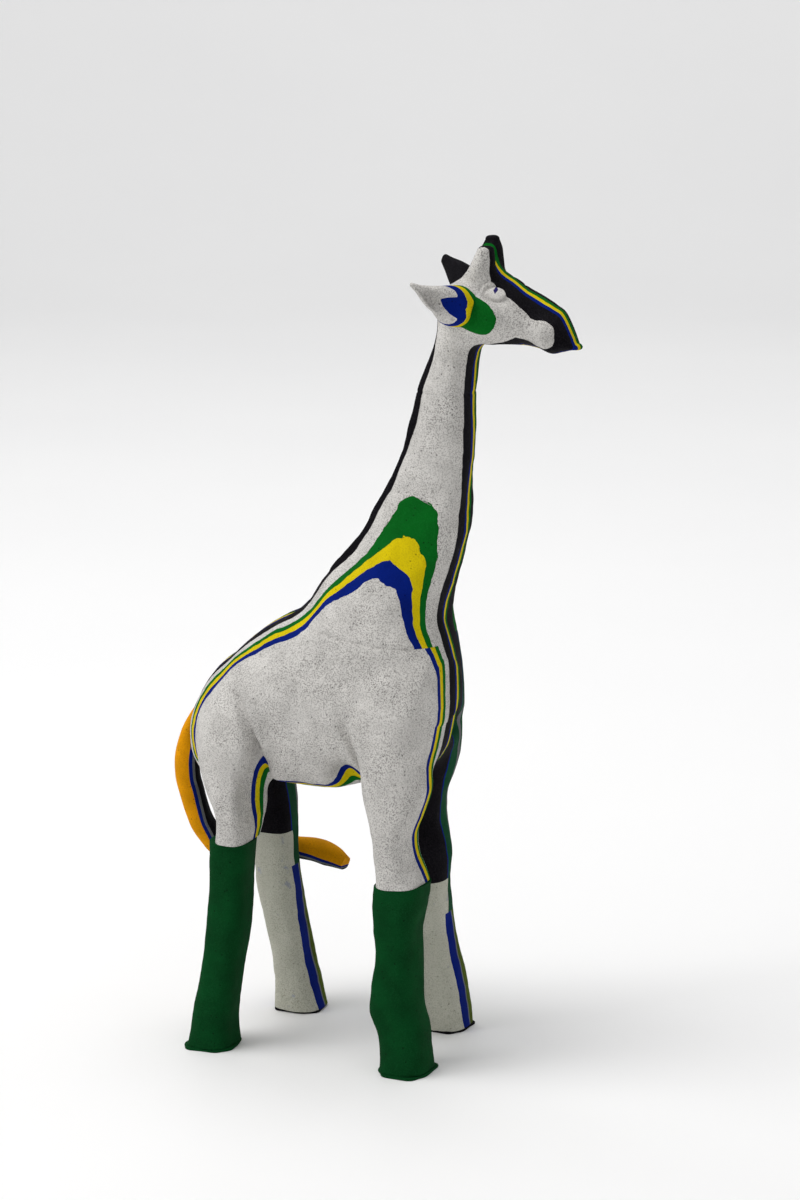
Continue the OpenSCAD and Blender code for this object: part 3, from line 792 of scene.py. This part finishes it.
def sample(field, low, high, step):
    """The field on a grid, worked out exactly only near the surface."""
    coarse = 4
    cells = [int(math.ceil((high[i] - low[i]) / (step * coarse))) + 1 for i in range(3)]
    rough = field(grid_points(low, cells, step * coarse)).reshape(cells)
    fine = rough.repeat(coarse, 0).repeat(coarse, 1).repeat(coarse, 2)
    points = grid_points(np.array(low) - step * 1.5, fine.shape, step)
    flat = fine.reshape(-1)
    near = np.abs(flat) < step * coarse * 1.7
    chunk = 400000
    places = np.flatnonzero(near)
    for start in range(0, len(places), chunk):
        part = places[start:start + chunk]
        flat[part] = field(points[part])
    values = flat.reshape(fine.shape)
    for axis in range(3):
        edges = np.moveaxis(values, axis, 0)
        edges[0] = edges[-1] = step
    return values, np.array(low) - step * 1.5


def surface_nets(values, low, step):
    """Closed quad mesh where a sampled field changes sign."""
    inside = values < 0
    size = np.array(values.shape) - 1
    corners = [(i, j, k) for i in (0, 1) for j in (0, 1) for k in (0, 1)]
    count = np.zeros(size, int)
    for c in corners:
        count += inside[tuple(slice(o, o + n) for o, n in zip(c, size))]
    active = (count > 0) & (count < 8)
    cells = np.argwhere(active)
    ids = np.full(size, -1)
    ids[active] = np.arange(len(cells))
    total = np.zeros((len(cells), 3))
    hits = np.zeros(len(cells))
    for a in corners:
        for axis in range(3):
            if a[axis]:
                continue
            b = tuple(v + (i == axis) for i, v in enumerate(a))
            va = values[tuple((cells + a).T)]
            vb = values[tuple((cells + b).T)]
            crossing = (va < 0) != (vb < 0)
            t = np.where(crossing, va / np.where(crossing, va - vb, 1), 0)
            place = np.array(a, float) + t[:, None] * (np.array(b) - np.array(a))
            total += place * crossing[:, None]
            hits += crossing
    verts = low + (cells + total / hits[:, None]) * step
    quads = []
    for axis in range(3):
        u, v = [i for i in range(3) if i != axis]
        first = np.take(inside, range(size[axis]), axis)
        second = np.take(inside, range(1, size[axis] + 1), axis)
        edges = np.argwhere(first != second)
        edges = edges[(edges[:, u] > 0) & (edges[:, v] > 0)]
        edges = edges[(edges[:, u] < size[u]) & (edges[:, v] < size[v])]
        corner_u = np.eye(3, dtype=int)[u]
        corner_v = np.eye(3, dtype=int)[v]
        around = [edges, edges - corner_u, edges - corner_u - corner_v, edges - corner_v]
        quad = np.stack([ids[tuple(c.T)] for c in around], axis=1)
        forward = first[tuple(edges.T)] ^ (axis == 1)
        quad[~forward] = quad[~forward][:, ::-1]
        quads.append(quad)
    return verts, np.concatenate(quads)


def settle(field, verts, step):
    """Moves the points onto the surface along the field's slope."""
    for _ in range(2):
        value = field(verts)
        nudge = 0.05
        slope = np.stack(
            [(field(verts + nudge * np.eye(3)[i]) - value) / nudge for i in range(3)], axis=1
        )
        steep = np.maximum((slope * slope).sum(axis=1), 0.2)
        move = -slope * (value / steep)[:, None]
        length = np.linalg.norm(move, axis=1, keepdims=True)
        verts = verts + move * np.minimum(1, 0.5 * step / np.maximum(length, 1e-9))
    return verts


def mesh_of(field, low, high, step):
    """The surface of a field within a box, as points and quads."""
    values, origin = sample(field, low, high, step)
    verts, quads = surface_nets(values, origin, step)
    return settle(field, verts, step), quads


# ---------------------------------------------------------------- slicing into sheets


def sheet_wave(x, z):
    """How far a glue plane wanders from flat: gently over the block, raggedly close up."""
    p = np.stack([x, np.zeros_like(x), z], axis=1)
    gentle = 0.22 * ripple(p, BROAD) + 0.1 * ripple(p, MEDIUM)
    return gentle + 0.08 * ripple(p, SMALL) + 0.06 * ripple(p, FINE)


def seam_wave(x):
    """How far a level glue plane wanders."""
    p = np.stack([x, 0 * x, 0 * x], axis=1)
    return 0.25 * ripple(p, BROAD) + 0.12 * ripple(p, MEDIUM)


def nape_bend(x, y, z):
    """The neck's right sheets lean in to meet the body's, behind the shoulder."""
    right = np.clip((-6.5 - y) / 4, 0, 1)
    near = np.exp(-((np.minimum(0, 2 - x) / 12) ** 2) - (np.maximum(0, z - 176) / 12) ** 2)
    return 3.5 * right * near


def leg_bend(x, y, z):
    """The left sheets lean out down the legs."""
    return 0.12 * np.maximum(0, 112 - z)


def no_bend(x, y, z):
    return 0 * x


def flatten(verts, bend):
    """Bends the block so that its wavy glue planes are flat."""
    out = verts.copy()
    out[:, 1] -= sheet_wave(verts[:, 0], verts[:, 2])
    out[:, 1] -= bend(verts[:, 0], out[:, 1], verts[:, 2])
    out[:, 2] -= seam_wave(out[:, 0])
    return out


def unflatten(verts, bend):
    """Undoes flatten; the bend is found by repeated substitution."""
    out = verts.copy()
    out[:, 2] += seam_wave(verts[:, 0])
    for _ in range(12):
        out[:, 1] = verts[:, 1] + bend(out[:, 0], out[:, 1], out[:, 2])
    out[:, 1] += sheet_wave(out[:, 0], out[:, 2])
    return out


def block_of(field, low, high, step, bend=no_bend):
    """A meshed part of the form, flattened and ready to slice."""
    verts, quads = mesh_of(field, low, high, step)
    return flatten(verts, bend), quads, bend


def cut(bm, normal, offset):
    """Keeps the side where normal . p < offset and closes the cut."""
    normal = Vector(normal)
    length = normal.length
    place = normal / length * (offset / length)
    everything = bm.verts[:] + bm.edges[:] + bm.faces[:]
    done = bmesh.ops.bisect_plane(
        bm, geom=everything, dist=1e-5, plane_co=place, plane_no=normal, clear_outer=True
    )
    rim = [e for e in done["geom_cut"] if isinstance(e, bmesh.types.BMEdge) and e.is_boundary]
    if rim:
        bmesh.ops.triangle_fill(bm, edges=rim, use_beauty=True, normal=normal)
        bmesh.ops.holes_fill(bm, edges=[e for e in rim if e.is_valid and e.is_boundary])


def slice_block(block, planes):
    """The part of a flattened block on the kept side of every plane, as verts and faces.

    Faces wholly past a glue plane go first, which is quick and leaves every cut closed.
    """
    verts, faces, bend = block
    planes = sorted(planes, key=lambda plane: -abs(plane[0][1]))
    keep = np.ones(len(faces), bool)
    for normal, offset in planes:
        if abs(normal[1]) > 0.9:
            side = verts @ np.array(normal, float)
            keep &= side[faces].min(axis=1) < offset
    used, faces = np.unique(faces[keep], return_inverse=True)
    rough = bpy.data.meshes.new("rough")
    rough.from_pydata(verts[used].tolist(), [], faces.reshape(-1, 4).tolist())
    bm = bmesh.new()
    bm.from_mesh(rough)
    bpy.data.meshes.remove(rough)
    for normal, offset in planes:
        cut(bm, normal, offset)
    bmesh.ops.remove_doubles(bm, verts=bm.verts[:], dist=0.002)
    points, polygons = finished(bm)
    return unflatten(points, bend), polygons


def add_piece(name, node, slot, parts):
    """Makes one object of the parts, in metres, standing for a CAD node."""
    verts = []
    faces = []
    for points, polygons in parts:
        start = len(verts)
        verts.extend(((points - CENTRE) * MM).tolist())
        faces.extend([[i + start for i in f] for f in polygons])
    mesh = bpy.data.meshes.new(name)
    mesh.from_pydata(verts, [], faces)
    mesh.shade_smooth()
    mesh.set_sharp_from_angle(angle=math.radians(42))
    mesh.materials.append(foams[slot].material)
    piece = bpy.data.objects.new(name, mesh)
    bpy.context.collection.objects.link(piece)
    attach(piece, "root")
    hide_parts(node)
    return piece


def above(z):
    return (0, 0, -1), -z


def below(z):
    return (0, 0, 1), z


def between(y0, y1):
    return [((0, -1, 0), -y0), ((0, 1, 0), y1)]


OVER_SHOULDER = ((-SHOULDER_SLOPE, 0, -1), -SHOULDER_SEAM)
UNDER_SHOULDER = ((SHOULDER_SLOPE, 0, 1), SHOULDER_SEAM)

# Sheet planes, right to left
HEAD_PLANES = [-21.5, -19, -16.5, -14, -6.5]
BODY_PLANES = [-18, -15.5, -13, -10.5, -6.5]
CORE_PLANES = [-0.5, 1.3, 3.1, 4.9]
LEFT_PLANES = [15.7, 16.5, 23.5, 26]


def make_head():
    block = block_of(head_field, (30, -34, 262), (102, 16, 331), 0.5)
    y = [-FAR] + HEAD_PLANES + CORE_PLANES + [FAR]
    sheets = [
        ("right_ear", "white_foam"),
        ("ear_root_blue", "blue_foam"),
        ("ear_root_yellow", "yellow_foam"),
        ("ear_root_green", "green_foam"),
        ("head_right_white", "white_foam"),
        ("head_black_core", "black_foam"),
        ("head_blue_stripe", "blue_foam"),
        ("head_yellow_stripe", "yellow_foam"),
        ("head_green_stripe", "green_foam"),
        ("head_left_black", "black_foam"),
    ]
    for (node, slot), y0, y1 in zip(sheets, y[:-1], y[1:]):
        part = slice_block(block, between(y0, y1) + [above(NECK_SEAM)])
        add_piece("v_" + node, node, slot, [part])


def make_left_ear():
    verts, quads = mesh_of(left_ear_field, (30, 4, 300), (58, 28, 324), 0.45)
    add_piece("v_left_ear", "left_ear", "black_foam", [(verts, quads.tolist())])


def make_neck():
    block = block_of(neck_field, (-34, -36, 162), (60, 42, 276), 0.8, nape_bend)
    y = [-FAR] + HEAD_PLANES + CORE_PLANES + [14, 23.5, 26, FAR]
    sheets = [
        ("shoulder_right_white", "white_foam"),
        ("neck_right_blue", "blue_foam"),
        ("neck_right_yellow", "yellow_foam"),
        ("neck_right_green", "green_foam"),
        ("neck_right_white", "white_foam"),
        ("neck_black_core", "black_foam"),
        ("neck_blue_stripe", "blue_foam"),
        ("neck_yellow_stripe", "yellow_foam"),
        ("neck_green_stripe", "green_foam"),
        ("neck_left_black", "black_foam"),
        ("shoulder_left_green", "green_foam"),
        ("shoulder_left_grey", "grey_foam"),
        ("shoulder_left_dark_green", "dark_green_foam"),
    ]
    for (node, slot), y0, y1 in zip(sheets, y[:-1], y[1:]):
        part = slice_block(block, between(y0, y1) + [OVER_SHOULDER, below(NECK_SEAM)])
        add_piece("v_" + node, node, slot, [part])


# Heights of the leg joints: hind, front
RIGHT_JOINTS = (86, 76)
LEFT_JOINTS = (80, 67)
# How far a left lower leg's white sheet laps up inside the body's outer sheets
LAP = 15
# Left faces of a left lower leg's sheets at the floor, in the leaning block, and their lean
LOWER_PLANES = [("white", 17.8), ("blue", 23.4), ("grey", 24.4), ("olive", FAR)]
LOWER_LEAN = {"hind": 0.06, "front": 0.08}
# The x that parts hind legs from front legs, and the plane that parts left legs from right
LEG_SPLIT = 0.0
LEFT_ONLY = ((0, -1, 0), 0)


def body_part(block, y0, y1, joints):
    """One body sheet, cut at its own leg joint heights: hind part and front part."""
    hind, front = joints
    planes = between(y0, y1) + [UNDER_SHOULDER]
    if hind == front:
        return [slice_block(block, planes + [above(hind)])]
    low, high = min(joints), max(joints)
    upper = slice_block(block, planes + [above(high)])
    side = ((-1, 0, 0), -LEG_SPLIT) if front < hind else ((1, 0, 0), LEG_SPLIT)
    lower = slice_block(block, between(y0, y1) + [side, below(high), above(low)])
    return [upper, lower]


def make_body():
    verts, quads = mesh_of(body_field, (-72, -38, -2), (54, 50, 185), 0.85)
    block = flatten(verts, no_bend), quads, no_bend
    left_block = flatten(verts, leg_bend), quads, leg_bend
    outer = (LEFT_JOINTS[0] - LAP, LEFT_JOINTS[1] - LAP)
    y = [-FAR] + BODY_PLANES + CORE_PLANES + LEFT_PLANES + [FAR]
    sheets = [
        ("body_right_white", "white_foam", RIGHT_JOINTS),
        ("body_right_blue", "blue_foam", RIGHT_JOINTS),
        ("body_right_yellow", "yellow_foam", RIGHT_JOINTS),
        ("body_right_green", "green_foam", RIGHT_JOINTS),
        ("body_inner_white", "white_foam", RIGHT_JOINTS),
        ("body_black_core", "black_foam", (100, 100)),
        ("body_blue_stripe", "blue_foam", (100, 100)),
        ("body_yellow_stripe", "yellow_foam", (100, 100)),
        ("body_green_stripe", "green_foam", (100, 100)),
        ("body_left_black", "black_foam", LEFT_JOINTS),
        ("body_left_blue", "blue_foam", LEFT_JOINTS),
        ("body_left_green", "dark_green_foam", outer),
        ("body_left_grey", "grey_foam", outer),
        ("body_left_dark_green", "dark_green_foam", outer),
    ]
    for (node, slot, joints), y0, y1 in zip(sheets, y[:-1], y[1:]):
        side = left_block if y0 >= CORE_PLANES[-1] else block
        add_piece("v_" + node, node, slot, body_part(side, y0, y1, joints))
    make_left_lower_legs(left_block, outer)


def make_left_lower_legs(block, outer):
    """The left lower legs, sliced along planes that lean with them."""
    for leg, joint, top in zip(("hind", "front"), LEFT_JOINTS, outer):
        side = ((1, 0, 0), LEG_SPLIT) if leg == "hind" else ((-1, 0, 0), -LEG_SPLIT)
        lean = LOWER_LEAN[leg]
        inner = -FAR
        for name, outward in LOWER_PLANES:
            planes = [side, LEFT_ONLY, ((0, -1, -lean), -inner), ((0, 1, lean), outward)]
            parts = [slice_block(block, planes + [below(top), above(PAD_TOP)])]
            if name == "white":
                lap = [side, LEFT_ONLY, ((0, 1, 0), LEFT_PLANES[1]), below(joint), above(top)]
                parts.append(slice_block(block, lap))
            node = f"left_{leg}_leg_{name}"
            add_piece("v_" + node, node, name + "_foam", parts)
            inner = outward


def make_right_lower_legs():
    """The right lower legs, one green block each."""
    for leg, field, low, high, joint in (
        ("hind", right_hind_lower_field, (-60, -36, -2), (-26, -6, 90), RIGHT_JOINTS[0]),
        ("front", right_front_lower_field, (20, -36, -2), (50, -6, 82), RIGHT_JOINTS[1]),
    ):
        block = block_of(field, low, high, 0.75)
        part = slice_block(block, [above(PAD_TOP), below(joint)])
        node = f"right_{leg}_lower_leg"
        add_piece("v_" + node, node, "sock_green_foam", [part])


# ---------------------------------------------------------------- eyes, pads and tail


def make_eyes():
    """Almond discs that stand a little proud of the sides of the head."""
    rows = [(-1.6, 1.0), (0.5, 1.0), (0.95, 0.94), (1.15, 0.8), (1.25, 0.5), (1.3, 0.2)]
    count = 48
    for side, name in ((-1, "right_eye"), (1, "left_eye")):
        x, y, z = EYE_PLACE
        out, up, along = eye_frame(np.eye(3), side).T - eye_frame(np.zeros((3, 3)), side).T
        middle = surface_point(np.array([x, side * y, z]), out)
        rings = []
        for lift, scale in rows:
            for i in range(count):
                t = 2 * math.pi * i / count
                rise = 2.65 * math.sin(t) * (1 - 0.25 * abs(math.cos(t)) ** 3)
                spot = along * 3.75 * math.cos(t) + up * rise
                rings.append(middle + out * lift + spot * scale)
        rings = np.array(rings)
        rings = rings + 0.12 * ripple(rings, FINE)[:, None] * along
        add_piece("v_" + name, name, "eye", [stacked_rings(rings, count)])


def surface_point(start, out):
    """Where the line through start along out leaves the head."""
    steps = np.linspace(8, -8, 321)[:, None]
    line = start + out * steps
    return line[np.argmax(head_field(line) < 0)]


def stacked_rings(verts, count):
    """Closes a stack of rings of count points, with outward faces."""
    bm = bmesh.new()
    made = [bm.verts.new(v) for v in verts]
    rings = [made[i:i + count] for i in range(0, len(made), count)]
    for low, high in zip(rings[:-1], rings[1:]):
        for i in range(count):
            j = (i + 1) % count
            bm.faces.new([low[i], low[j], high[j], high[i]])
    bm.faces.new(rings[0][::-1])
    bm.faces.new(rings[-1])
    return finished(bm)


def finished(bm):
    """The points and outward polygons of a closed mesh."""
    bmesh.ops.recalc_face_normals(bm, faces=bm.faces[:])
    bm.verts.index_update()
    points = np.array([v.co[:] for v in bm.verts])
    polygons = [[v.index for v in f.verts] for f in bm.faces]
    bm.free()
    return points, polygons


def make_pads():
    """Thin foam soles with uneven edges that stand out past the feet."""
    pads = [
        ("right_hind_pad", "sock_green_foam", RIGHT_HIND_LOWER[0], 1.1),
        ("right_front_pad", "sock_green_foam", RIGHT_FRONT_LOWER[0], 1.1),
        ("left_hind_pad", "black_foam", LEFT_HIND[0], -0.3),
        ("left_front_pad", "black_foam", LEFT_FRONT[0], -0.3),
    ]
    count = 96
    profile = [(0.0, -0.9), (0.0, -0.1), (0.15, 0.1), (0.5, 0.15), (0.8, 0.0), (1.0, -0.6)]
    for node, slot, (x, y, _, a, b), overhang in pads:
        verts = []
        for z, grow in profile:
            for i in range(count):
                t = 2 * math.pi * i / count
                c, s = math.cos(t), math.sin(t)
                u = math.copysign(abs(c) ** 0.7, c)
                v = math.copysign(abs(s) ** 0.7, s)
                lip = overhang + 0.7 * math.sin(3 * t + x) + 0.4 * math.sin(7 * t + y)
                reach_x = a + grow + lip * 0.7
                reach_y = b + grow + lip * 0.7
                verts.append((x + u * reach_x, y + v * reach_y, z))
        add_piece("v_" + node, node, slot, [stacked_rings(verts, count)])


# Route of the tail strip: x, y, z, twist in degrees, scale
TAIL_ROUTE = [
    (-61.5, 1, 134, -20, 0.6),
    (-65.1, 1, 128, -20, 0.75),
    (-68.3, 2, 121, -20, 0.95),
    (-70.4, 3, 112.5, -20, 1.1),
    (-71, 5, 103, -20, 1.12),
    (-69.9, 8, 92, -18, 1.1),
    (-68, 12, 81.2, -8, 1.05),
    (-62.9, 18, 71, 20, 1),
    (-56.5, 28, 66, 60, 1),
    (-50.2, 37, 64.5, 110, 1),
    (-43, 43, 65.5, 150, 1),
    (-33, 43, 66, 175, 1.05),
    (-24, 41, 65, 180, 1),
    (-16.5, 39.5, 62.5, 180, 0.6),
]
# Half sizes of the strip, then its sheets: node, slot, and depths from the outer face
TAIL_HALF_THICK = 4.5
TAIL_HALF_WIDE = 4.8
TAIL_SHEETS = [
    ("tail_yellow", "amber_foam", 0, 5.6),
    ("tail_blue", "blue_foam", 5.6, 6.9),
    ("tail_grey", "grey_foam", 6.9, 7.8),
    ("tail_black", "black_foam", 7.8, 9),
]


def make_tail():
    """A curved strip of four sheets, swept along its route."""
    steps = 150
    rows = np.array(TAIL_ROUTE, float)
    numbered = np.column_stack([np.arange(len(rows)), rows])
    at = np.linspace(0, len(rows) - 1, steps)
    smooth = smooth_rows(numbered, 0, at)
    spine = smooth[:, :3] + 0.15 * ripple(smooth[:, :3], MEDIUM)[:, None] * np.array([1, 0.5, 0.3])
    ahead = np.gradient(spine, axis=0)
    ahead /= np.linalg.norm(ahead, axis=1, keepdims=True)
    side = np.cross(ahead, np.array([0, -1.0, 0]))
    side /= np.linalg.norm(side, axis=1, keepdims=True)
    cross = np.cross(ahead, side)
    turn = np.radians(smooth[:, 3])[:, None]
    out = side * np.cos(turn) + cross * np.sin(turn)
    flat = cross * np.cos(turn) - side * np.sin(turn)
    scale = smooth[:, 4:5]
    for name, slot, d0, d1 in TAIL_SHEETS:
        make_tail_sheet(name, slot, (spine, out, flat, scale), d0, d1)


def make_tail_sheet(name, slot, sweep, d0, d1):
    """The layer of the tail strip between the depths d0 and d1 from its outer face."""
    spine, out, flat, scale = sweep
    half = TAIL_HALF_THICK
    levels = np.linspace(half - d1, half - d0, 9)
    levels = np.clip(levels, -half * 0.985, half * 0.985)
    width = TAIL_HALF_WIDE * (1 - np.abs(levels / half) ** 2.6) ** (1 / 2.6)
    outline = [(h, w) for h, w in zip(levels, width)]
    outline += [(h, -w) for h, w in zip(levels[::-1], width[::-1])]
    ring = len(outline)
    verts = []
    for i in range(len(spine)):
        for h, w in outline:
            verts.append(spine[i] + (out[i] * h + flat[i] * w) * scale[i])
    verts = np.array(verts)
    verts = verts + 0.1 * ripple(verts, SMALL)[:, None] * np.repeat(flat, ring, axis=0)
    add_piece("v_" + name, name, slot, [stacked_rings(verts, ring)])


# ---------------------------------------------------------------- build

make_camera()
make_studio()
foams = make_foams()
make_head()
make_left_ear()
make_neck()
make_body()
make_right_lower_legs()
make_eyes()
make_pads()
make_tail()
